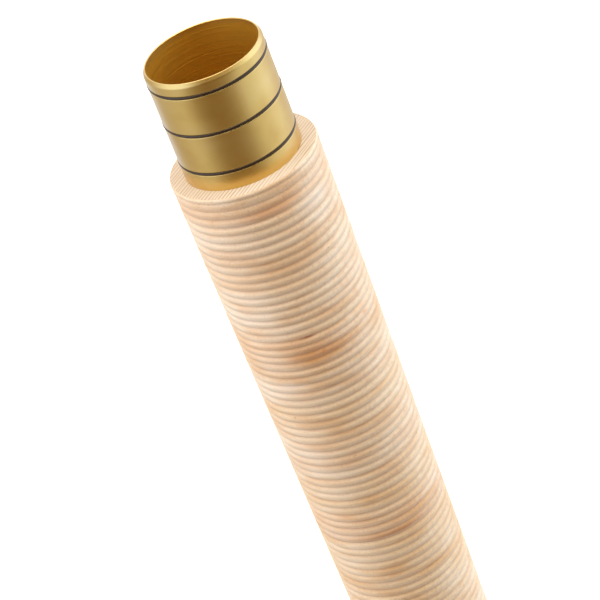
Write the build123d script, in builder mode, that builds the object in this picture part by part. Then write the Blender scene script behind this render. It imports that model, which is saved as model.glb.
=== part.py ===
from build123d import *
import os

os.makedirs("parts", exist_ok=True)

# One section of a take-apart didgeridoo, standing on its mouthpiece with the spigot for the
# next section on top. Everything is turned about Z, and height 0 is the rim of the mouthpiece.

# Wooden tube: crosswise-grained pine blocks, glued end to end, bored and turned to a slow taper.
block_count = 8
block_height = 92.0
face_radius = 31.6  # outside of the wood at the face around the spigot
taper = 0.0114  # radius lost per mm of height going down, outside and in the air column

# Ribs: turned side by side along the whole tube, so that each glue joint lies in a groove.
ribs_per_block = 23
rib_depth = 0.6
face_rib_height = 1.8  # what is left of a rib at the face around the spigot

# Spigot: anodised aluminium tube. Its lower half is turned down a little and glued into the
# top block, so that the plug itself stands on the wood.
spigot_radius = 25.0
spigot_wall = 1.4  # at the lip; the bore narrows below it with the air column
spigot_projection = 50.0
spigot_seat_depth = 50.0
spigot_seat_step = 0.4
lip_chamfer_height = 1.6
lip_chamfer_depth = 0.9
foot_chamfer = 0.6

# Rubber rings of the spigot.
ring_cord = 1.2
ring_proud = 0.2
ring_groove_play = 0.15  # each side of the cord, along the tube
spigot_ring_count = 3
first_ring_from_lip = 6.0
spigot_ring_pitch = 18.0
ring_section_sides = 8

# Mouthpiece: turned rim with an aluminium tenon, held by two rubber rings in a glued-in socket.
rim_height = 24.0
rim_outer_round = 5.0
rim_inner_round = 2.4
tenon_radius = 17.4
tenon_wall = 2.8
tenon_length = 25.0
tenon_seat_depth = 16.0
tenon_chamfer = 0.8
tenon_ring_count = 2
first_tenon_ring = 8.0  # above the shoulder of the rim
tenon_ring_pitch = 11.0
socket_wall = 1.8
socket_end_gap = 1.0  # between the end of the tenon and the wood behind it
socket_lead_in = 0.6

# Clearances, all on the radius.
glue_gap = 0.05
tenon_running_gap = 0.08
ring_running_gap = 0.03

# Heights and radii that follow from them.
wood_bottom = rim_height
wood_top = wood_bottom + block_count * block_height
lip_height = wood_top + spigot_projection
spigot_foot = wood_top - spigot_seat_depth
spigot_seat_radius = spigot_radius - spigot_seat_step
lip_bore_radius = spigot_radius - spigot_wall
rim_bore_radius = tenon_radius - tenon_wall
socket_radius = tenon_radius + tenon_running_gap
sleeve_radius = socket_radius + socket_wall
sleeve_top = wood_bottom + tenon_length + socket_end_gap
tenon_top = wood_bottom + tenon_length
tenon_foot = wood_bottom - tenon_seat_depth
ring_groove_width = ring_cord + 2 * ring_groove_play
spigot_groove_floor = spigot_radius + ring_proud - ring_cord
tenon_ring_centre = socket_radius - ring_running_gap - ring_cord / 2
tenon_groove_floor = tenon_ring_centre - ring_cord / 2 - ring_running_gap
spigot_ring_heights = [
    lip_height - first_ring_from_lip - i * spigot_ring_pitch for i in range(spigot_ring_count)
]
tenon_ring_heights = [
    wood_bottom + first_tenon_ring + i * tenon_ring_pitch for i in range(tenon_ring_count)
]


def outer_radius(height):
    """Outside of the wood at a height, over the crests of the ribs."""
    return face_radius - taper * (wood_top - height)


def bore_radius(height):
    """Air column at a height."""
    return lip_bore_radius - taper * (lip_height - height)


def groove_point(height):
    """Bottom of a groove between two ribs, in the XZ plane."""
    return (outer_radius(height) - rib_depth, height)


def wood_block(number):
    """One glued block with its share of the taper and of the ribs."""
    bottom = wood_bottom + (number - 1) * block_height
    top = bottom + block_height
    ribs_top = top - face_rib_height if number == block_count else top
    rib_pitch = (ribs_top - bottom) / ribs_per_block
    with BuildPart() as block:
        with BuildSketch(Plane.XZ):
            with BuildLine():
                for i in range(ribs_per_block):
                    foot = bottom + i * rib_pitch
                    crest = foot + rib_pitch / 2
                    ThreePointArc(
                        groove_point(foot), (outer_radius(crest), crest), groove_point(foot + rib_pitch)
                    )
                if number == block_count:
                    outer_edge = (outer_radius(top), top)
                    TangentArc(outer_edge, groove_point(ribs_top), tangent=(0, -1))
                else:
                    outer_edge = groove_point(top)
                Polyline(
                    outer_edge,
                    (bore_radius(top), top),
                    (bore_radius(bottom), bottom),
                    groove_point(bottom),
                )
            make_face()
        revolve(axis=Axis.Z)
        if number == 1:
            with BuildSketch(Plane.XY.offset(wood_bottom)):
                Circle(sleeve_radius + glue_gap)
            extrude(amount=sleeve_top - wood_bottom, mode=Mode.SUBTRACT)
        if number == block_count:
            with BuildSketch(Plane.XY.offset(spigot_foot)):
                Circle(spigot_seat_radius + glue_gap)
            extrude(amount=spigot_seat_depth, mode=Mode.SUBTRACT)
    return block


def rubber_ring(centre_radius, height):
    """A rubber ring lying in its groove."""
    with BuildPart() as ring:
        with BuildSketch(Plane.XZ):
            with Locations((centre_radius, height)):
                RegularPolygon(
                    ring_cord / 2,
                    ring_section_sides,
                    major_radius=False,
                    rotation=180 / ring_section_sides,
                )
        revolve(axis=Axis.Z)
    return ring


# The stack of blocks, numbered from the mouthpiece up. The lowest is counterbored for the
# socket sleeve, and the highest for the spigot.
for number in range(1, block_count + 1):
    block = wood_block(number)
    block.part.label = f"wood_block_{number}"
    export_step(block.part, f"parts/wood_block_{number}.step")

# The spigot: a lead-in chamfer at the lip, three ring grooves and a bore that carries on the
# taper of the air column.
with BuildPart() as spigot:
    with BuildSketch(Plane.XZ):
        with BuildLine():
            Polyline(
                (bore_radius(spigot_foot), spigot_foot),
                (spigot_seat_radius - foot_chamfer, spigot_foot),
                (spigot_seat_radius, spigot_foot + foot_chamfer),
                (spigot_seat_radius, wood_top),
                (spigot_radius, wood_top),
                (spigot_radius, lip_height - lip_chamfer_height),
                (spigot_radius - lip_chamfer_depth, lip_height),
                (bore_radius(lip_height), lip_height),
                close=True,
            )
        make_face()
        groove_depth = spigot_radius - spigot_groove_floor
        with Locations(*[(spigot_radius, height) for height in spigot_ring_heights]):
            Rectangle(2 * groove_depth, ring_groove_width, mode=Mode.SUBTRACT)
    revolve(axis=Axis.Z)
spigot.part.label = "spigot"
export_step(spigot.part, "parts/spigot.step")

# Rubber rings of the spigot, numbered from the lip down, seated on their groove floors.
for number, height in enumerate(spigot_ring_heights, start=1):
    ring = rubber_ring(spigot_groove_floor + ring_cord / 2, height)
    ring.part.label = f"spigot_ring_{number}"
    export_step(ring.part, f"parts/spigot_ring_{number}.step")

# The socket sleeve: lines the narrow end of the tube, flush with the wood.
with BuildPart() as socket_sleeve:
    with BuildSketch(Plane.XZ):
        with BuildLine():
            Polyline(
                (socket_radius + socket_lead_in, wood_bottom),
                (sleeve_radius, wood_bottom),
                (sleeve_radius, sleeve_top),
                (socket_radius, sleeve_top),
                (socket_radius, wood_bottom + socket_lead_in),
                close=True,
            )
        make_face()
    revolve(axis=Axis.Z)
socket_sleeve.part.label = "socket_sleeve"
export_step(socket_sleeve.part, "parts/socket_sleeve.step")

# The mouthpiece rim: rounded for the lips, and as wide at its shoulder as the wood above it.
with BuildPart() as mouthpiece_rim:
    with BuildSketch(Plane.XZ):
        with BuildLine():
            Polyline(
                (rim_bore_radius, 0),
                (outer_radius(0), 0),
                (outer_radius(rim_height), rim_height),
                (rim_bore_radius, rim_height),
                close=True,
            )
        rim_face = make_face()
        lower_corners = rim_face.vertices().group_by(Axis.Y)[0].sort_by(Axis.X)
        fillet(lower_corners[-1], rim_outer_round)
        lower_corners = rim_face.vertices().group_by(Axis.Y)[0].sort_by(Axis.X)
        fillet(lower_corners[0], rim_inner_round)
    revolve(axis=Axis.Z)
    with BuildSketch(Plane.XY.offset(tenon_foot)):
        Circle(tenon_radius + glue_gap)
    extrude(amount=tenon_seat_depth, mode=Mode.SUBTRACT)
mouthpiece_rim.part.label = "mouthpiece_rim"
export_step(mouthpiece_rim.part, "parts/mouthpiece_rim.step")

# The tenon of the mouthpiece: glued into the rim, with two ring grooves above the shoulder.
with BuildPart() as mouthpiece_tenon:
    with BuildSketch(Plane.XZ):
        with BuildLine():
            Polyline(
                (rim_bore_radius, tenon_foot),
                (tenon_radius, tenon_foot),
                (tenon_radius, tenon_top - tenon_chamfer),
                (tenon_radius - tenon_chamfer, tenon_top),
                (rim_bore_radius, tenon_top),
                close=True,
            )
        make_face()
        groove_depth = tenon_radius - tenon_groove_floor
        with Locations(*[(tenon_radius, height) for height in tenon_ring_heights]):
            Rectangle(2 * groove_depth, ring_groove_width, mode=Mode.SUBTRACT)
    revolve(axis=Axis.Z)
mouthpiece_tenon.part.label = "mouthpiece_tenon"
export_step(mouthpiece_tenon.part, "parts/mouthpiece_tenon.step")

# Rubber rings of the tenon, numbered from the shoulder up: they run free in groove and socket.
for number, height in enumerate(tenon_ring_heights, start=1):
    ring = rubber_ring(tenon_ring_centre, height)
    ring.part.label = f"mouthpiece_ring_{number}"
    export_step(ring.part, f"parts/mouthpiece_ring_{number}.step")
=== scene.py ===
import math
import random
import bpy
from mathutils import Matrix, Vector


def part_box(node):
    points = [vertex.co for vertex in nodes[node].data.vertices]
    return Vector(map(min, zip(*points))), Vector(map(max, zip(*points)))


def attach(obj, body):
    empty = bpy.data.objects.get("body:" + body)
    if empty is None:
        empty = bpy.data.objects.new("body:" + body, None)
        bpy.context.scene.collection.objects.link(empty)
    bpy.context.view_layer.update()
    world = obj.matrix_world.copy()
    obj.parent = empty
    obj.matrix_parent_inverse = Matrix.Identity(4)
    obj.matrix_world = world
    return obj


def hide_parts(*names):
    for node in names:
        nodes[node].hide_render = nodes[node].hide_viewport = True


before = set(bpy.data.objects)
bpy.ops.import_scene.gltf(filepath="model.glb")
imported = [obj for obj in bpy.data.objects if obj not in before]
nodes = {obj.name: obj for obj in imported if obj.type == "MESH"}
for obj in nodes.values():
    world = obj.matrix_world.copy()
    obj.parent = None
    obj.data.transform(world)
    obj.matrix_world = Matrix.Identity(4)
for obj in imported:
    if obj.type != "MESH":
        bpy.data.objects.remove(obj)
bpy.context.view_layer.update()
mm = 0.001
print("frame loaded:", len(nodes), "CAD nodes")


# Heights and radii of the CAD nodes, in mm
def topOf(nodeName):
    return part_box(nodeName)[1].z / mm


def bottomOf(nodeName):
    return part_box(nodeName)[0].z / mm


def radiusOf(nodeName):
    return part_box(nodeName)[1].x / mm


# The hard pieces are turned: one vertex is drawn out into half a section, and the section is spun
turning = {
    "segments": 144,
    "smoothAngle": 38,      # degrees
    "plane": 0.001,         # m, side of the plane that is merged into the first vertex
    "hold": 0.25,           # mm from the ends of a long wall to the points that keep it straight
    "weld": 0.000002,       # m
}


def startSection(pieceName, point):
    bpy.ops.object.select_all(action="DESELECT")
    bpy.ops.mesh.primitive_plane_add(size=turning["plane"],
                                     location=(point[0] * mm, 0, point[1] * mm))
    piece = bpy.context.object
    piece.name = pieceName
    bpy.ops.object.transform_apply(location=True, rotation=True, scale=True)
    bpy.ops.object.mode_set(mode="EDIT")
    bpy.ops.mesh.select_all(action="SELECT")
    bpy.ops.mesh.merge(type="CENTER")
    return piece


def cutStraight(start, end):
    step = ((end[0] - start[0]) * mm, 0, (end[1] - start[1]) * mm)
    bpy.ops.mesh.extrude_region_move(TRANSFORM_OT_translate={"value": step})
    return end


# A long wall gets a point near each end, so that its shading stays flat up to the rounded edges
def cutHeld(start, end, hold):
    share = hold / math.dist(start, end)
    here = start
    for part in (share, 1 - share, 1):
        here = cutStraight(here, tuple(s + (e - s) * part for s, e in zip(start, end)))
    return end


# bulge is the height of the arc over its chord, to the right of the way the tool travels
def cutArc(start, end, bulge, cuts):
    dx, dz = end[0] - start[0], end[1] - start[1]
    chord = math.hypot(dx, dz)
    side = 1 if bulge > 0 else -1
    sag = abs(bulge)
    arcRadius = (chord * chord / 4 + sag * sag) / (2 * sag)
    back = arcRadius - sag
    centre = ((start[0] + end[0]) / 2 - side * dz / chord * back,
              (start[1] + end[1]) / 2 + side * dx / chord * back)
    angle = 2 * math.asin(min(1.0, chord / (2 * arcRadius)))
    bpy.ops.mesh.spin(steps=cuts, angle=angle, center=(centre[0] * mm, 0, centre[1] * mm),
                      axis=(0, side, 0))
    return end


def spinRound(piece, segments):
    bpy.ops.mesh.select_all(action="SELECT")
    bpy.ops.mesh.remove_doubles(threshold=turning["weld"])
    bpy.ops.mesh.select_all(action="SELECT")
    bpy.ops.mesh.spin(steps=segments, angle=2 * math.pi, center=(0, 0, 0), axis=(0, 0, 1))
    bpy.ops.mesh.select_all(action="SELECT")
    bpy.ops.mesh.remove_doubles(threshold=turning["weld"])
    bpy.ops.mesh.normals_make_consistent(inside=False)
    bpy.ops.object.mode_set(mode="OBJECT")
    bpy.ops.object.shade_smooth_by_angle(angle=math.radians(turning["smoothAngle"]))
    return piece


# A step is (radius, height) for a straight cut, (radius, height, hold) for a long wall,
# or (radius, height, bulge, cuts) for an arc
def turnPiece(pieceName, start, steps, segments=turning["segments"]):
    piece = startSection(pieceName, start)
    point = start
    for step in steps:
        cut = {2: cutStraight, 3: cutHeld, 4: cutArc}[len(step)]
        point = cut(point, step[:2], *step[2:])
    cutStraight(point, start)
    return spinRound(piece, segments)


# sRGB hex to the linear colour that a socket takes
def linear(hexColour):
    values = []
    for i in (0, 2, 4):
        c = int(hexColour[i:i + 2], 16) / 255
        values.append(c / 12.92 if c <= 0.04045 else ((c + 0.055) / 1.055) ** 2.4)
    return (*values, 1.0)


# Adds a node: settings are its own properties, inputs are socket values or (node, output) links,
# and stops are the (place, colour) pairs of a colour ramp
def addNode(owner, kind, settings={}, inputs={}, stops=()):
    tree = owner.node_tree
    node = tree.nodes.new("ShaderNode" + kind)
    for key, value in settings.items():
        setattr(node, key, value)
    for key, value in inputs.items():
        if isinstance(value, tuple) and hasattr(value[0], "outputs"):
            tree.links.new(value[0].outputs[value[1]], node.inputs[key])
        else:
            node.inputs[key].default_value = value
    if stops:
        ramp = node.color_ramp.elements
        for stop, (place, colour) in zip((ramp[0], ramp[1]), (stops[0], stops[-1])):
            stop.position, stop.color = place, linear(colour)
        for place, colour in stops[1:-1]:
            ramp.new(place).color = linear(colour)
    return node


def emptyMaterial(materialName):
    material = bpy.data.materials.new(materialName)
    material.use_nodes = True
    material.node_tree.nodes.clear()
    return material


def dress(piece, material, bodyName):
    piece.data.materials.clear()
    piece.data.materials.append(material)
    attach(piece, bodyName)


# Turned pine, sanded and lightly oiled: pale and soft, with a silky bloom on the flanks and the
# boards' fibres lying across the tube, so one side shows long grain and the other end grain
pine = {
    "fibreAzimuth": 50,     # degrees from +X, the way the boards' fibres run
    "blockHeight": 92.0,
    "wander": 5.0,          # mm that the edge of a tint strays up and down
    "wanderScale": (0.035, 0.035, 0.05),    # waves per mm, along the fibres, across them and up
    "streaks": 0.9,         # mm, height of one streak along a rib
    "streakLength": 50.0,
    "streakAmount": 0.4,
    "cloud": 22.0,          # mm, length of a broad patch along a rib
    "cloudFlatness": 3.6,   # its length over its height
    "cloudAmount": 0.5,
    "fibreLength": 3.3,     # mm
    "fibreWidth": 0.53,     # mm, coarser than real fibres, which would be too fine to see
    "fibreDepth": 0.06,
    "fibreAmount": 0.34,
    "scores": 0.7,          # mm between fine scores
    "scoreRise": 0.06,      # waves per mm up, so that a score runs on for some 17 mm
    "scoreSide": (0.5, 0.9),    # shares of the radius at which the scored side starts and is full
    "scoreAmount": 0.13,
    "rings": 1.6,           # mm between growth lines on a cut face
    "ringScale": (0.03, 1, 0.05),   # of their pattern, along the fibres, across them and up
    "lineShade": "b68a55",
    "faceTone": "ddd4c6",   # a cut face
    "faceSlope": (0.85, 0.97),      # Z of the normal at which a cut face starts and is full
    # painted shade in the grooves: its colour, the depths at which it starts and is full, and its
    # strength
    "paintedGrooveShade": "b57a45",
    "paintedShadeDepths": (0.15, 0.6),    # mm below the crests at which the shade starts and is full
    "paintedShadeAmount": 0.2,
    "markSink": 0.25,       # mm that the middle of a mark lies below the crests
    "markEdge": (1.6, 0.5),     # where a mark starts and is full, as shares of half its height
    "roughness": 0.5,
}


# tints are (mm below the top of the block, colour)
# marks are (mm below the top, azimuth, half its height in mm, length over height, strength, colour)
def pineMaterial(materialName, top, topRadius, taper, tints, marks=()):
    material = emptyMaterial(materialName)
    coord = addNode(material, "TexCoord")
    board = addNode(material, "Mapping", {}, {
        "Vector": (coord, "Object"),
        "Location": (0, 0, -top),
        "Rotation": (0, 0, math.radians(-pine["fibreAzimuth"])),
        "Scale": (1 / mm, 1 / mm, 1 / mm)})
    axes = addNode(material, "SeparateXYZ", {}, {"Vector": (board, "Vector")})

    # the tint of the board, looked up by depth in the block, with a wavering edge
    wanderMap = addNode(material, "Mapping", {}, {
        "Vector": (board, "Vector"), "Scale": pine["wanderScale"]})
    wander = addNode(material, "TexNoise", {}, {
        "Vector": (wanderMap, "Vector"), "Scale": 1.0, "Detail": 3.0})
    shift = addNode(material, "Math", {"operation": "MULTIPLY_ADD"}, {
        0: (wander, "Fac"), 1: 2 * pine["wander"], 2: -pine["wander"]})
    depth = addNode(material, "Math", {"operation": "SUBTRACT"}, {0: (shift, 0), 1: (axes, "Z")})
    share = addNode(material, "Math", {"operation": "DIVIDE", "use_clamp": True}, {
        0: (depth, 0), 1: pine["blockHeight"]})
    tint = addNode(material, "ValToRGB", {}, {"Fac": (share, 0)},
                   [(d / pine["blockHeight"], colour) for d, colour in tints])

    # streaks along the ribs, each a little paler or pinker than the next
    streakMap = addNode(material, "Mapping", {}, {
        "Vector": (board, "Vector"),
        "Scale": (1 / pine["streakLength"], 1 / pine["streakLength"], 1 / pine["streaks"] / 2)})
    streak = addNode(material, "TexNoise", {}, {
        "Vector": (streakMap, "Vector"), "Scale": 1.0, "Detail": 4.0, "Roughness": 0.6})
    streakTone = addNode(material, "ValToRGB", {}, {"Fac": (streak, "Fac")},
                         [(0.3, "e2cbb2"), (0.5, "fffaf4"), (0.7, "fff6ea")])
    streaked = addNode(material, "Mix", {"data_type": "RGBA", "blend_type": "MULTIPLY"}, {
        "Factor": pine["streakAmount"], 6: (tint, "Color"), 7: (streakTone, "Color")})

    # broad patches of tanner and creamier wood that follow the ribs, set off sideways by the height
    # of the block, so that no two blocks are alike
    cloudMap = addNode(material, "Mapping", {}, {
        "Vector": (board, "Vector"), "Location": (top, 0, 0),
        "Scale": (1 / pine["cloud"], 1 / pine["cloud"], pine["cloudFlatness"] / pine["cloud"])})
    cloud = addNode(material, "TexNoise", {}, {
        "Vector": (cloudMap, "Vector"), "Scale": 1.0, "Detail": 3.0, "Roughness": 0.55})
    cloudTone = addNode(material, "ValToRGB", {}, {"Fac": (cloud, "Fac")},
                        [(0.34, "e3bd90"), (0.44, "eed3b0"), (0.54, "f5e6cc"), (0.66, "faf2e2")])
    clouded = addNode(material, "Mix", {"data_type": "RGBA", "blend_type": "MIX"}, {
        "Factor": pine["cloudAmount"], 6: (streaked, 2), 7: (cloudTone, "Color")})

    # cut fibres: short dashes where the board lies lengthwise, dots on its end grain
    fibreMap = addNode(material, "Mapping", {}, {
        "Vector": (board, "Vector"),
        "Scale": (1 / pine["fibreLength"], 1 / pine["fibreWidth"], 1 / pine["fibreWidth"])})
    fibre = addNode(material, "TexNoise", {}, {
        "Vector": (fibreMap, "Vector"), "Scale": 1.0, "Detail": 3.0, "Roughness": 0.65})
    fibreTone = addNode(material, "ValToRGB", {}, {"Fac": (fibre, "Fac")},
                        [(0.34, "c9a27c"), (0.5, "fffaf3"), (0.7, "ffffff")])
    fibred = addNode(material, "Mix", {"data_type": "RGBA", "blend_type": "MULTIPLY"}, {
        "Factor": pine["fibreAmount"], 6: (clouded, 2), 7: (fibreTone, "Color")})

    # fine upright scores of the tool on the long grain of one side
    scoreMap = addNode(material, "Mapping", {}, {
        "Vector": (board, "Vector"),
        "Scale": (1 / pine["scores"], 1 / pine["scores"], pine["scoreRise"])})
    score = addNode(material, "TexNoise", {}, {
        "Vector": (scoreMap, "Vector"), "Scale": 1.0, "Detail": 1.0, "Roughness": 0.5})
    scoreTone = addNode(material, "ValToRGB", {}, {"Fac": (score, "Fac")},
                        [(0.38, "cfb394"), (0.52, "ffffff"), (0.7, "ffffff")])
    scoreSide = addNode(material, "MapRange", {"interpolation_type": "SMOOTHSTEP"}, {
        "Value": (axes, "Y"), "From Min": -pine["scoreSide"][0] * topRadius,
        "From Max": -pine["scoreSide"][1] * topRadius, "To Max": pine["scoreAmount"]})
    scored = addNode(material, "Mix", {"data_type": "RGBA", "blend_type": "MULTIPLY"}, {
        "Factor": (scoreSide, "Result"), 6: (fibred, 2), 7: (scoreTone, "Color")})

    # growth lines on the flat faces, straight along the fibres; at scale 1 a wave texture repeats
    # every pi / 10
    lineMap = addNode(material, "Mapping", {}, {
        "Vector": (board, "Vector"), "Scale": pine["ringScale"]})
    growth = addNode(material, "TexWave", {"bands_direction": "Y"}, {
        "Vector": (lineMap, "Vector"), "Scale": math.pi / 10 / pine["rings"], "Distortion": 4.0,
        "Detail": 3.0, "Detail Scale": 1.3})
    growthTone = addNode(material, "ValToRGB", {}, {"Fac": (growth, "Fac")},
                         [(0.0, "ffffff"), (0.72, "fffaf2"), (1.0, pine["lineShade"])])
    normalAxes = addNode(material, "SeparateXYZ", {}, {"Vector": (coord, "Normal")})
    upright = addNode(material, "Math", {"operation": "ABSOLUTE"}, {0: (normalAxes, "Z")})
    onFace = addNode(material, "MapRange", {"interpolation_type": "SMOOTHSTEP"}, {
        "Value": (upright, 0), "From Min": pine["faceSlope"][0], "From Max": pine["faceSlope"][1]})
    lineAmount = addNode(material, "MapRange", {}, {
        "Value": (cloud, "Fac"), "From Min": 0.36, "From Max": 0.64, "To Min": 0.35})
    cutFace = addNode(material, "Mix", {"data_type": "RGBA", "blend_type": "MULTIPLY"}, {
        "Factor": (lineAmount, "Result"), 6: linear(pine["faceTone"]), 7: (growthTone, "Color")})
    faced = addNode(material, "Mix", {"data_type": "RGBA", "blend_type": "MIX"}, {
        "Factor": (onFace, "Result"), 6: (scored, 2), 7: (cutFace, 2)})

    # painted shade: the grooves are made browner and darker, standing in for the shade that falls in
    # them
    flat = addNode(material, "CombineXYZ", {}, {"X": (axes, "X"), "Y": (axes, "Y")})
    radius = addNode(material, "VectorMath", {"operation": "LENGTH"}, {0: (flat, "Vector")})
    crest = addNode(material, "Math", {"operation": "MULTIPLY_ADD"}, {
        0: (axes, "Z"), 1: taper, 2: topRadius})
    sunk = addNode(material, "Math", {"operation": "SUBTRACT"}, {
        0: (crest, 0), 1: (radius, "Value")})
    paintedShadeInGroove = addNode(material, "MapRange", {"interpolation_type": "SMOOTHSTEP"}, {
        "Value": (sunk, 0), "From Min": pine["paintedShadeDepths"][0], "From Max": pine["paintedShadeDepths"][1],
        "To Max": pine["paintedShadeAmount"]})
    besideFace = addNode(material, "Math", {"operation": "SUBTRACT"}, {
        0: 1.0, 1: (onFace, "Result")})
    paintedShadeAmount = addNode(material, "Math", {"operation": "MULTIPLY"}, {
        0: (paintedShadeInGroove, "Result"), 1: (besideFace, 0)})
    last = addNode(material, "Mix", {"data_type": "RGBA", "blend_type": "MIX"}, {
        "Factor": (paintedShadeAmount, 0), 6: (faced, 2), 7: linear(pine["paintedGrooveShade"])})

    # single marks: soft patches, resin streaks and pin flecks; the streaks' noise frays their edges
    for markDepth, azimuth, size, stretch, strength, markColour in marks:
        turned = math.radians(azimuth - pine["fibreAzimuth"])
        reach = topRadius - taper * markDepth - pine["markSink"]
        place = (reach * math.cos(turned), reach * math.sin(turned), -markDepth)
        away = addNode(material, "VectorMath", {"operation": "SUBTRACT"}, {
            0: (board, "Vector"), 1: place})
        squashed = addNode(material, "VectorMath", {"operation": "MULTIPLY"}, {
            0: (away, "Vector"), 1: (1 / stretch, 1 / stretch, 1)})
        distance = addNode(material, "VectorMath", {"operation": "LENGTH"}, {
            0: (squashed, "Vector")})
        ragged = addNode(material, "Math", {"operation": "MULTIPLY_ADD"}, {
            0: (streak, "Fac"), 1: size, 2: (distance, "Value")})
        amount = addNode(material, "MapRange", {"interpolation_type": "SMOOTHSTEP"}, {
            "Value": (ragged, 0), "From Min": size * pine["markEdge"][0],
            "From Max": size * pine["markEdge"][1], "To Max": strength})
        last = addNode(material, "Mix", {"data_type": "RGBA", "blend_type": "MIX"}, {
            "Factor": (amount, "Result"), 6: (last, 2), 7: linear(markColour)})

    bump = addNode(material, "Bump", {}, {
        "Height": (fibre, "Fac"), "Strength": 0.25, "Distance": pine["fibreDepth"] * mm})
    surface = addNode(material, "BsdfPrincipled", {}, {
        "Base Color": (last, 2), "Roughness": pine["roughness"], "IOR": 1.5,
        "Sheen Weight": 0.5, "Sheen Roughness": 0.45, "Normal": (bump, "Normal")})
    addNode(material, "OutputMaterial", {}, {"Surface": (surface, "BSDF")})
    return material


# The tube: eight glued blocks of turned ribs
tube = {
    "blocks": 8,
    "taper": 0.0114,        # radius lost per mm going down
    "boreAtLip": 23.6,
    "ribsPerBlock": 23,
    "ribDepth": 0.6,
    "cutsPerRib": 8,
    "grooveWidth": 1.2,     # of the rounded bottom of a groove
    "grooveRound": 0.18,    # its depth
    "cutsPerGroove": 6,
    "halfGrooveSag": 0.045,
    "topPitches": [3.8] * 11 + [4.0] * 11 + [3.8],      # of the top block, going up
    "firstGrooves": {0: 0.6, 1: 0.8},   # depth of the grooves next to the face, as a share
    "depthSpread": 0.1,     # share by which the grooves differ in depth
    "jitter": 0.12,         # mm that the grooves stray from their pitch
    "seed": 100,            # of the random draws, to which a block's number is added
    "faceRound": 0.5,       # the rounded edge of the top face
    "faceSag": 0.3,
    "faceCuts": 5,
    "inset": 0.03,          # mm by which the outside is drawn in from the CAD's
    "spigotSeat": 24.65,
    "glueGap": 0.05,        # round the socket sleeve
    "endGap": 0.1,          # below the spigot's foot
}
woodTop = topOf("wood_block_8")
lipHeight = topOf("spigot")
woodRadius = radiusOf("wood_block_8") - tube["inset"]
sleeveSeat = radiusOf("socket_sleeve") + tube["glueGap"]


def crestAt(height):
    return woodRadius - tube["taper"] * (woodTop - height)


def boreAt(height):
    return tube["boreAtLip"] - tube["taper"] * (lipHeight - height)


# Most blocks have even ribs. In the top one the turner's feed gets a little coarser halfway up
def ribPitches(number):
    if number < tube["blocks"]:
        return [pine["blockHeight"] / tube["ribsPerBlock"]] * tube["ribsPerBlock"]
    return tube["topPitches"]


def turnBlock(number):
    blockName = "wood_block_%d" % number
    bottom, top = bottomOf(blockName), topOf(blockName)
    chance = random.Random(tube["seed"] + number)
    reach, hollow = tube["grooveWidth"] / 2, tube["grooveRound"]
    jointCuts = tube["cutsPerGroove"] // 2

    # up the outside, from half a groove at the lower glue joint
    start = (sleeveSeat if number == 1 else boreAt(bottom), bottom)
    jointFloor = crestAt(bottom) - tube["ribDepth"]
    steps = [(jointFloor, bottom),
             (jointFloor + hollow, bottom + reach, -tube["halfGrooveSag"], jointCuts)]
    height = bottom
    pitches = ribPitches(number)
    for i, pitch in enumerate(pitches):
        height += pitch
        if i == len(pitches) - 1 and number < tube["blocks"]:
            # the last rib ends in half a groove at the upper glue joint
            shoulder = crestAt(top) - tube["ribDepth"] + hollow
            steps.append((shoulder, top - reach, tube["ribDepth"] - hollow, tube["cutsPerRib"]))
            steps.append((shoulder - hollow, top, -tube["halfGrooveSag"], jointCuts))
            continue
        middle = height + chance.uniform(-1, 1) * tube["jitter"]
        depth = tube["ribDepth"] * chance.uniform(1 - tube["depthSpread"], 1 + tube["depthSpread"])
        if number == tube["blocks"]:
            depth *= tube["firstGrooves"].get(len(pitches) - 1 - i, 1)
        shoulder = crestAt(middle) - depth + hollow
        steps.append((shoulder, middle - reach, depth - hollow, tube["cutsPerRib"]))
        steps.append((shoulder, middle + reach, -hollow, tube["cutsPerGroove"]))

    # over the top and down the inside, with the seats of the spigot and of the socket sleeve
    if number == tube["blocks"]:
        seatFloor = bottomOf("spigot") - tube["endGap"]
        steps.append((crestAt(top) - tube["faceRound"], top, tube["faceSag"], tube["faceCuts"]))
        steps.append((tube["spigotSeat"], top))
        steps.append((tube["spigotSeat"], seatFloor))
        steps.append((boreAt(bottomOf("spigot")), seatFloor))
    else:
        steps.append((boreAt(top), top))
    if number == 1:
        steps.append((boreAt(topOf("socket_sleeve")), topOf("socket_sleeve")))
        steps.append((sleeveSeat, topOf("socket_sleeve")))
    return turnPiece("turned_" + blockName, start, steps)


# Each block has the tints and marks of its own board
pale, cream, tan = "f6ebd8", "f3e1c5", "ebd3b1"
peach, orange, brown = "f1d6b7", "e5c090", "d3a46d"
straw, wheat = "f1debb", "e8cea4"
blockTints = {
    8: [(0, pale), (1.5, cream), (4, peach), (11, peach), (16, cream), (26, pale), (35, tan),
        (43, cream), (62, pale), (68, cream), (76, peach), (85, orange), (92, tan)],
    7: [(0, tan), (3, cream), (9, pale), (18, straw), (34, cream), (50, pale), (66, straw),
        (74, wheat), (82, peach), (88, orange), (91, brown), (92, brown)],
    6: [(0, straw), (12, straw), (24, wheat), (34, straw), (52, cream), (70, straw), (82, peach),
        (92, tan)],
    5: [(0, pale), (20, cream), (38, tan), (58, cream), (75, pale), (92, cream)],
    4: [(0, cream), (14, peach), (30, cream), (50, pale), (72, tan), (92, cream)],
    3: [(0, tan), (18, cream), (44, pale), (64, cream), (84, orange), (92, tan)],
    2: [(0, pale), (26, cream), (46, tan), (60, cream), (92, pale)],
    1: [(0, cream), (22, pale), (48, cream), (70, tan), (92, cream)],
}
resin, fleck = "a5522b", "7d5534"
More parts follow.
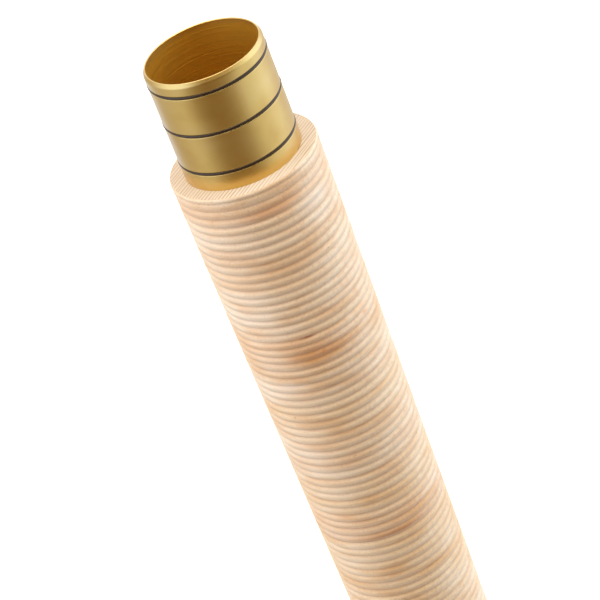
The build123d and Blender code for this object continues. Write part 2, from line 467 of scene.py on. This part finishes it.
blockMarks = {
    8: [(12, -86, 4.5, 4.2, 0.6, "dba574"), (17, -50, 5.0, 2.5, 0.5, "f4ece2"),
        (38, -74, 4.5, 4.5, 0.45, "d9ae80"), (82, -92, 7.0, 3.2, 0.55, "cf9358"),
        (73, -95, 0.9, 5.5, 0.85, resin), (82, -88, 1.0, 1.8, 0.6, "d98440"),
        (78, -41, 1.1, 3.0, 0.5, "dd9150"), (80, -21, 1.6, 3.0, 0.45, "de9a60"),
        (26, -101, 0.4, 1.5, 0.6, fleck), (40, -54, 0.45, 1.5, 0.6, fleck),
        (2, -138, 0.4, 1.5, 0.6, fleck)],
    7: [(4, -125, 2.5, 4.5, 0.5, "f1e9de"), (6, -82, 4.0, 4.0, 0.35, "c9a578"),
        (21, -132, 0.4, 2.0, 0.6, fleck), (45, -95, 0.4, 2.0, 0.5, fleck),
        (90, -85, 1.7, 14.0, 0.6, "b5733c")],
    6: [(60, -95, 1.2, 5.0, 0.4, "cc8f5c")],
}

for number in range(1, tube["blocks"] + 1):
    block = turnBlock(number)
    blockName = "wood_block_%d" % number
    blockTop = topOf(blockName)
    blockPine = pineMaterial("turnedPine%d" % number, blockTop, crestAt(blockTop), tube["taper"],
                             blockTints[number], blockMarks.get(number, ()))
    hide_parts(blockName)
    dress(block, blockPine, "tube")
print("wood turned")


# Gold-anodised aluminium, finely turned: a satin metal with a clear oxide layer, drawn out in soft
# upright bands of light. The bored inside is rippled by the tool, and its base colour is deeper and
# more saturated: painted shade that stands in for the dim, warm light inside the tube
anodised = {
    "pale": "dfbd6a",
    "middle": "dab65c",
    "deep": "d3ab52",
    "dye": 16.0,            # mm, size of the clouds in the dye
    # painted shade: the bore's base colour, deeper and more saturated than the outside's, standing in
    # for the dim, warm light inside the tube
    "inside": "d6a531",
    "insideDepths": (1.39, 1.43),   # mm below the outside where the bore's look starts and is full
    "boreDull": 0.24,       # the bore is this much rougher than the outside
    "boreMetal": 0.75,      # and scatters the rest of the light, as a bored and etched wall does
    "gloss": (0.3, 0.38),   # roughness of the outside, least and most
    "turning": 0.22,        # mm between turning lines
    "turningLength": 50.0,
    "turningDepth": 0.02,
    "chatter": 0.75,        # mm between the ripples inside
    "chatterStretch": 0.03,     # waves per mm round the bore
    "chatterDepth": 0.16,
}


# The bore's look is on whatever lies a wall's thickness or more inside outsideRadius, in mm
def goldMaterial(materialName, outsideRadius):
    material = emptyMaterial(materialName)
    insideFrom, insideFull = anodised["insideDepths"]
    glossFrom, glossTo = anodised["gloss"]
    coord = addNode(material, "TexCoord")
    place = addNode(material, "Mapping", {}, {
        "Vector": (coord, "Object"), "Scale": (1 / mm, 1 / mm, 1 / mm)})
    axes = addNode(material, "SeparateXYZ", {}, {"Vector": (place, "Vector")})
    flat = addNode(material, "CombineXYZ", {}, {"X": (axes, "X"), "Y": (axes, "Y")})
    radius = addNode(material, "VectorMath", {"operation": "LENGTH"}, {0: (flat, "Vector")})
    inside = addNode(material, "MapRange", {}, {
        "Value": (radius, "Value"), "From Min": outsideRadius - insideFrom,
        "From Max": outsideRadius - insideFull})

    cloud = addNode(material, "TexNoise", {}, {
        "Vector": (place, "Vector"), "Scale": 1 / anodised["dye"], "Detail": 3.0})
    dye = addNode(material, "ValToRGB", {}, {"Fac": (cloud, "Fac")},
                  [(0.3, anodised["deep"]), (0.5, anodised["middle"]), (0.7, anodised["pale"])])
    # painted shade: inside the bore the dye gives way to the deeper bore colour
    dyeAndPaintedBoreShade = addNode(material, "Mix", {"data_type": "RGBA"}, {
        "Factor": (inside, "Result"), 6: (dye, "Color"), 7: linear(anodised["inside"])})

    turnMap = addNode(material, "Mapping", {}, {
        "Vector": (place, "Vector"),
        "Scale": (1 / anodised["turningLength"], 1 / anodised["turningLength"],
                  0.5 / anodised["turning"])})
    lines = addNode(material, "TexNoise", {}, {
        "Vector": (turnMap, "Vector"), "Scale": 1.0, "Detail": 3.0, "Roughness": 0.6})
    gloss = addNode(material, "MapRange", {}, {
        "Value": (lines, "Fac"), "From Min": 0.3, "From Max": 0.7,
        "To Min": glossFrom, "To Max": glossTo})
    dulled = addNode(material, "Math", {"operation": "MULTIPLY_ADD"}, {
        0: (inside, "Result"), 1: anodised["boreDull"], 2: (gloss, "Result")})
    rippleMap = addNode(material, "Mapping", {}, {
        "Vector": (place, "Vector"),
        "Scale": (anodised["chatterStretch"], anodised["chatterStretch"], 1 / anodised["chatter"])})
    ripple = addNode(material, "TexNoise", {}, {
        "Vector": (rippleMap, "Vector"), "Scale": 1.0, "Detail": 1.0, "Roughness": 0.4})
    rippleInside = addNode(material, "Math", {"operation": "MULTIPLY"}, {
        0: (ripple, "Fac"), 1: (inside, "Result")})
    fine = addNode(material, "Bump", {}, {
        "Height": (lines, "Fac"), "Strength": 0.3, "Distance": anodised["turningDepth"] * mm})
    coarse = addNode(material, "Bump", {}, {
        "Height": (rippleInside, 0), "Strength": 1.0, "Distance": anodised["chatterDepth"] * mm,
        "Normal": (fine, "Normal")})
    metal = addNode(material, "MapRange", {}, {
        "Value": (inside, "Result"), "To Min": 1.0, "To Max": anodised["boreMetal"]})
    surface = addNode(material, "BsdfPrincipled", {}, {
        "Base Color": (dyeAndPaintedBoreShade, 2), "Metallic": (metal, "Result"), "Roughness": (dulled, 0),
        "Coat Weight": 0.6, "Coat Roughness": 0.3, "Coat IOR": 1.6, "Normal": (coarse, "Normal")})
    addNode(material, "OutputMaterial", {}, {"Surface": (surface, "BSDF")})
    return material


# The spigot: ring grooves with broken edges, a lead-in chamfer and a thin flat lip
spigot = {
    "radius": 25.0,
    "seatRadius": 24.6,
    "footChamfer": 0.6,
    "seatRise": 0.02,       # mm that the step under the bare wall stands above the wood
    "grooveWidth": 1.5,
    "grooveFloor": 24.0,
    "upperEdge": 0.08,      # above a groove
    "lowerEdge": 0.2,       # below it, where the next section rubs
    "chamferHeight": 1.6,
    "chamferDepth": 0.9,
    "chamferSoft": (0.3, 0.15),     # how far its lower corner is rounded, along the wall and inwards
    "chamferHold": 0.1,
    "lipEdge": 0.12,
    "boreEdge": 0.2,
    "edgeCuts": 4,
    "edgeSag": 0.04,        # of the larger edges
    "boreSag": 0.035,
    "fineCuts": 3,          # of the edge above a groove
    "fineSag": 0.02,
    "segments": 256,
}


def turnSpigot():
    lip, foot = topOf("spigot"), bottomOf("spigot")
    radius, seat, hold = spigot["radius"], spigot["seatRadius"], turning["hold"]
    upper, lower, lipEdge = spigot["upperEdge"], spigot["lowerEdge"], spigot["lipEdge"]
    cuts, sag = spigot["edgeCuts"], spigot["edgeSag"]
    stepHeight = woodTop + spigot["seatRise"]
    steps = [(seat, foot + spigot["footChamfer"]), (seat, stepHeight), (radius, stepHeight)]
    for ringNumber in (3, 2, 1):
        ringName = "spigot_ring_%d" % ringNumber
        middle = (topOf(ringName) + bottomOf(ringName)) / 2
        grooveFoot, grooveTop = middle - spigot["grooveWidth"] / 2, middle + spigot["grooveWidth"] / 2
        steps += [(radius, grooveFoot - lower, hold), (radius - lower, grooveFoot, sag, cuts),
                  (spigot["grooveFloor"], grooveFoot), (spigot["grooveFloor"], grooveTop),
                  (radius - upper, grooveTop),
                  (radius, grooveTop + upper, spigot["fineSag"], spigot["fineCuts"])]

    # the chamfer, the flat lip and the bore
    chamferFoot, chamferTop = lip - spigot["chamferHeight"], radius - spigot["chamferDepth"]
    softUp, softIn = spigot["chamferSoft"]
    lipBore, boreEdge = tube["boreAtLip"], spigot["boreEdge"]
    steps += [(radius, chamferFoot - softUp, hold), (radius - softIn, chamferFoot + softUp, sag, cuts),
              (chamferTop + lipEdge / 2, lip - lipEdge, spigot["chamferHold"]),
              (chamferTop - lipEdge, lip, sag, cuts), (lipBore + boreEdge, lip),
              (lipBore, lip - boreEdge, spigot["boreSag"], cuts), (boreAt(foot), foot, hold)]
    return turnPiece("spigot_tube", (seat - spigot["footChamfer"], foot), steps, spigot["segments"])


spigotTube = turnSpigot()
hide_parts("spigot")
dress(spigotTube, goldMaterial("anodisedGoldAluminium", spigot["radius"]), "tube")
print("spigot turned")


# Moulded nitrile rubber: brown-black and smooth, with a faint glint along the crown of each ring
rubberRing = {
    "cord": 1.2,
    "squeeze": 1.15,        # the cord's height over its width, in its groove
    "sides": 20,
    "segments": 192,
    "dark": "1c120a",
    "pale": "2c1f13",
    "bloom": 2.0,           # mm, size of the dull patches
    "gloss": (0.17, 0.28),  # roughness, least and most
}


def rubberMaterial():
    material = emptyMaterial("nitrileRubber")
    coord = addNode(material, "TexCoord")
    place = addNode(material, "Mapping", {}, {
        "Vector": (coord, "Object"), "Scale": (1 / mm, 1 / mm, 1 / mm)})
    bloom = addNode(material, "TexNoise", {}, {
        "Vector": (place, "Vector"), "Scale": 1 / rubberRing["bloom"], "Detail": 4.0})
    tone = addNode(material, "ValToRGB", {}, {"Fac": (bloom, "Fac")},
                   [(0.3, rubberRing["dark"]), (0.7, rubberRing["pale"])])
    dull = addNode(material, "MapRange", {}, {
        "Value": (bloom, "Fac"), "To Min": rubberRing["gloss"][0], "To Max": rubberRing["gloss"][1]})
    # painted reflection: the rubber's reflections are tinted warm, standing in for the gold round each
    # ring
    surface = addNode(material, "BsdfPrincipled", {}, {
        "Base Color": (tone, "Color"), "Roughness": (dull, "Result"), "IOR": 1.52,
        "Specular IOR Level": 0.6, "Specular Tint": linear("ffe0b4")})
    addNode(material, "OutputMaterial", {}, {"Surface": (surface, "BSDF")})
    return material


rubber = rubberMaterial()


def mouldRing(nodeName, bodyName):
    low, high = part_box(nodeName)
    cordRadius = rubberRing["cord"] / 2 * mm
    bpy.ops.object.select_all(action="DESELECT")
    bpy.ops.mesh.primitive_circle_add(
        vertices=rubberRing["sides"], radius=cordRadius,
        location=(high.x - cordRadius, 0, (low.z + high.z) / 2), rotation=(math.pi / 2, 0, 0))
    ring = bpy.context.object
    ring.name = "seal_" + nodeName
    ring.scale.y = rubberRing["squeeze"]
    bpy.ops.object.transform_apply(location=True, rotation=True, scale=True)
    bpy.ops.object.mode_set(mode="EDIT")
    spinRound(ring, rubberRing["segments"])
    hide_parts(nodeName)
    dress(ring, rubber, bodyName)


for number in (1, 2, 3):
    mouldRing("spigot_ring_%d" % number, "tube")
for number in (1, 2):
    mouldRing("mouthpiece_ring_%d" % number, "mouthpiece_rings")
print("rings moulded")


# The mouthpiece: a smooth rim for the lips, and its tenon, which goes into the socket sleeve
mouthpiece = {
    "bore": 14.6,
    "tenonSeat": 17.45,
    "seatFloor": 8.0,
    "footFlare": 0.05,      # mm that the taper adds up to the end of the outer round
    "outerRound": 5.0,
    "outerSag": 1.46,
    "outerCuts": 12,
    "innerRound": 2.4,
    "innerSag": 0.7,
    "innerCuts": 8,
    "shoulderEdge": 0.7,
    "shoulderSag": 0.1,
    "shoulderCuts": 4,
    "boredDepth": 2,        # mm added to a radius, which gives the whole piece the bore's look
}


def turnRim():
    rimTop, rimRadius, hold = topOf("mouthpiece_rim"), radiusOf("mouthpiece_rim"), turning["hold"]
    footRadius = rimRadius - tube["taper"] * rimTop
    outer, inner = mouthpiece["outerRound"], mouthpiece["innerRound"]
    edge, bore, seat = mouthpiece["shoulderEdge"], mouthpiece["bore"], mouthpiece["tenonSeat"]
    return turnPiece("mouth_rim", (bore + inner, 0), [
        (footRadius - outer, 0),
        (footRadius + mouthpiece["footFlare"], outer, mouthpiece["outerSag"], mouthpiece["outerCuts"]),
        (rimRadius - edge / 2, rimTop - edge / 2, hold),
        (rimRadius - edge, rimTop, mouthpiece["shoulderSag"], mouthpiece["shoulderCuts"]),
        (seat, rimTop), (seat, mouthpiece["seatFloor"]), (bore, mouthpiece["seatFloor"]),
        (bore, inner, hold), (bore + inner, 0, mouthpiece["innerSag"], mouthpiece["innerCuts"])])


rim = turnRim()
rimPine = pineMaterial("turnedPineRim", topOf("mouthpiece_rim"), radiusOf("mouthpiece_rim"),
                       tube["taper"], [(0, cream), (8, pale), (16, cream), (24, tan)])
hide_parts("mouthpiece_rim")
dress(rim, rimPine, "mouthpiece")

# The tenon and the socket sleeve are as the CAD has them
for nodeName in ("mouthpiece_tenon", "socket_sleeve"):
    node = nodes[nodeName]
    lookRadius = radiusOf(nodeName) + mouthpiece["boredDepth"]
    node.data.materials.clear()
    node.data.materials.append(goldMaterial("anodisedGold_" + nodeName, lookRadius))
print("mouthpiece made")


# The stage: a pale sweep that glows to the eye alone, so that it looks evenly white
stage = {
    "white": "efefef",
    "glow": 0.75,
    "roughness": 0.9,
    "frontEdge": -0.45,     # m
    "width": 8,
    "depth": 4,
}
bpy.ops.object.select_all(action="DESELECT")
bpy.ops.mesh.primitive_plane_add(size=1, location=(0, stage["frontEdge"] + stage["depth"] / 2, 0))
sweep = bpy.context.object
sweep.name = "sweep"
sweep.scale = (stage["width"], stage["depth"], 1)
bpy.ops.object.transform_apply(location=True, rotation=True, scale=True)
sweep.visible_glossy = False
paper = emptyMaterial("paperSweep")
seen = addNode(paper, "LightPath")
glow = addNode(paper, "Math", {"operation": "MULTIPLY"}, {
    0: (seen, "Is Camera Ray"), 1: stage["glow"]})
paperSurface = addNode(paper, "BsdfPrincipled", {}, {
    "Base Color": linear(stage["white"]), "Roughness": stage["roughness"],
    "Emission Color": (1, 1, 1, 1), "Emission Strength": (glow, 0)})
addNode(paper, "OutputMaterial", {}, {"Surface": (paperSurface, "BSDF")})
sweep.data.materials.append(paper)

# The room is white to the eye. In the metal it is bright and cool to the right and dimmer to the
# left, and its soft light is warm, and weaker from below. The first of a pair is where a side
# starts, and the second where it is full
room = {
    "right": (0.93, 1.0, 1.2, 1),
    "back": (0.85, 0.81, 0.75, 1),
    "backward": (-0.1, 0.8),
    "left": (0.66, 0.63, 0.59, 1),
    "leftward": (0.2, -0.7),
    "fill": (0.455, 0.272, 0.115, 1),
    "under": (0.14, 0.088, 0.045, 1),
    "downward": (0.4, -0.25),
}
# What else the metal mirrors: a direction, the cosines at which it starts and is full, and its light
reflections = {
    "unlitFront": ((-0.14, -0.99, 0.0), 0.36, 0.93, (0.245, 0.155, 0.068, 1)),
    "rightSoftbox": ((0.975, 0.15, 0.16), 0.72, 0.95, (1.6, 1.9, 2.9, 1)),
    "leftSoftbox": ((-0.92, -0.3, 0.25), 0.7, 0.98, (1.4, 1.65, 2.5, 1)),
    "backdropLeft": ((-0.29, 0.8, -0.525), 0.9, 0.99, (0.95, 1.0, 1.15, 1)),
    "ceiling": ((0.0, 0.5, 0.866), 0.3, 0.7, (1.3, 1.28, 1.35, 1)),
    "skylight": ((0.0, -0.05, 1.0), 0.8, 0.95, (5.5, 5.3, 5.4, 1)),
}
world = bpy.data.worlds.new("studio")
bpy.context.scene.world = world
world.use_nodes = True
world.node_tree.nodes.clear()
sky = addNode(world, "TexCoord")
toward = addNode(world, "SeparateXYZ", {}, {"Vector": (sky, "Generated")})
rays = addNode(world, "LightPath")
behind = addNode(world, "MapRange", {"interpolation_type": "SMOOTHSTEP"}, {
    "Value": (toward, "Y"), "From Min": room["backward"][0], "From Max": room["backward"][1]})
rightSide = addNode(world, "Mix", {"data_type": "RGBA"}, {
    "Factor": (behind, "Result"), 6: room["right"], 7: room["back"]})
leftward = addNode(world, "MapRange", {"interpolation_type": "SMOOTHSTEP"}, {
    "Value": (toward, "X"), "From Min": room["leftward"][0], "From Max": room["leftward"][1]})
mirrored = addNode(world, "Mix", {"data_type": "RGBA"}, {
    "Factor": (leftward, "Result"), 6: (rightSide, 2), 7: room["left"]})
for direction, start, full, light in reflections.values():
    facing = addNode(world, "VectorMath", {"operation": "DOT_PRODUCT"}, {
        0: (sky, "Generated"), 1: direction})
    amount = addNode(world, "MapRange", {"interpolation_type": "SMOOTHSTEP"}, {
        "Value": (facing, "Value"), "From Min": start, "From Max": full})
    mirrored = addNode(world, "Mix", {"data_type": "RGBA"}, {
        "Factor": (amount, "Result"), 6: (mirrored, 2), 7: light})
lowness = addNode(world, "MapRange", {"interpolation_type": "SMOOTHSTEP"}, {
    "Value": (toward, "Z"), "From Min": room["downward"][0], "From Max": room["downward"][1]})
soft = addNode(world, "Mix", {"data_type": "RGBA"}, {
    "Factor": (lowness, "Result"), 6: room["fill"], 7: room["under"]})
lit = addNode(world, "Mix", {"data_type": "RGBA"}, {
    "Factor": (rays, "Is Glossy Ray"), 6: (soft, 2), 7: (mirrored, 2)})
shown = addNode(world, "Mix", {"data_type": "RGBA"}, {
    "Factor": (rays, "Is Camera Ray"), 6: (lit, 2), 7: (1, 1, 1, 1)})
air = addNode(world, "Background", {}, {"Color": (shown, 2), "Strength": 1.0})
addNode(world, "OutputWorld", {}, {"Surface": (air, "Background")})

# Two large soft lamps beside the tube and a warmer one above it; the metal mirrors the room instead.
# Places and sizes are in m
lamps = {
    "rightSoftbox": {"place": (1.3, 0.0, 1.05), "size": (1.3, 1.4), "watts": 20.3, "tone": "dff1ff"},
    "leftSoftbox": {"place": (-1.3, -0.05, 1.1), "size": (1.3, 1.4), "watts": 16.8, "tone": "e6f1ff"},
    "topSoftbox": {"place": (0, -0.2, 2.1), "size": (1.4, 1.4), "watts": 20, "tone": "fff4e6"},
}
lampTarget = (0, 0, 0.72)
for lampName, kind in lamps.items():
    bpy.ops.object.select_all(action="DESELECT")
    bpy.ops.object.light_add(type="AREA", location=kind["place"])
    lamp = bpy.context.object
    lamp.name = lampName
    lamp.data.shape = "RECTANGLE"
    lamp.data.size, lamp.data.size_y = kind["size"]
    lamp.data.energy = kind["watts"]
    lamp.data.color = linear(kind["tone"])[:3]
    lamp.visible_camera = False
    lamp.visible_glossy = False
    # turned to face the upper part of the tube
    dx, dy, dz = (t - p for t, p in zip(lampTarget, kind["place"]))
    lamp.rotation_euler = (math.atan2(math.hypot(dx, dy), -dz), 0, math.atan2(dy, dx) - math.pi / 2)
print("stage lit")


# The camera: well back, looking down on the spigot, rolled to lay the tube aslant
view = {
    "aim": 0.6861,          # m, height of the point on the axis that it looks at
    "distance": 1.1086,
    "elevation": 31.69,     # degrees
    "roll": -21.65,
    "lens": 159.4,          # mm
    "sensor": 36,
    "shift": -0.0006,       # of the frame's width
}
elevation = math.radians(view["elevation"])
back, rise = view["distance"] * math.cos(elevation), view["distance"] * math.sin(elevation)
bpy.ops.object.camera_add(location=(0, -back, view["aim"] + rise))
camera = bpy.context.object
camera.data.lens = view["lens"]
camera.data.sensor_width = view["sensor"]
camera.data.shift_x = view["shift"]
tipped = Matrix.Rotation(math.pi / 2 - elevation, 3, "X")
rolled = Matrix.Rotation(math.radians(view["roll"]), 3, "Z")
camera.rotation_euler = (tipped @ rolled).to_euler()
bpy.context.scene.camera = camera
bpy.context.scene.view_settings.view_transform = "Standard"
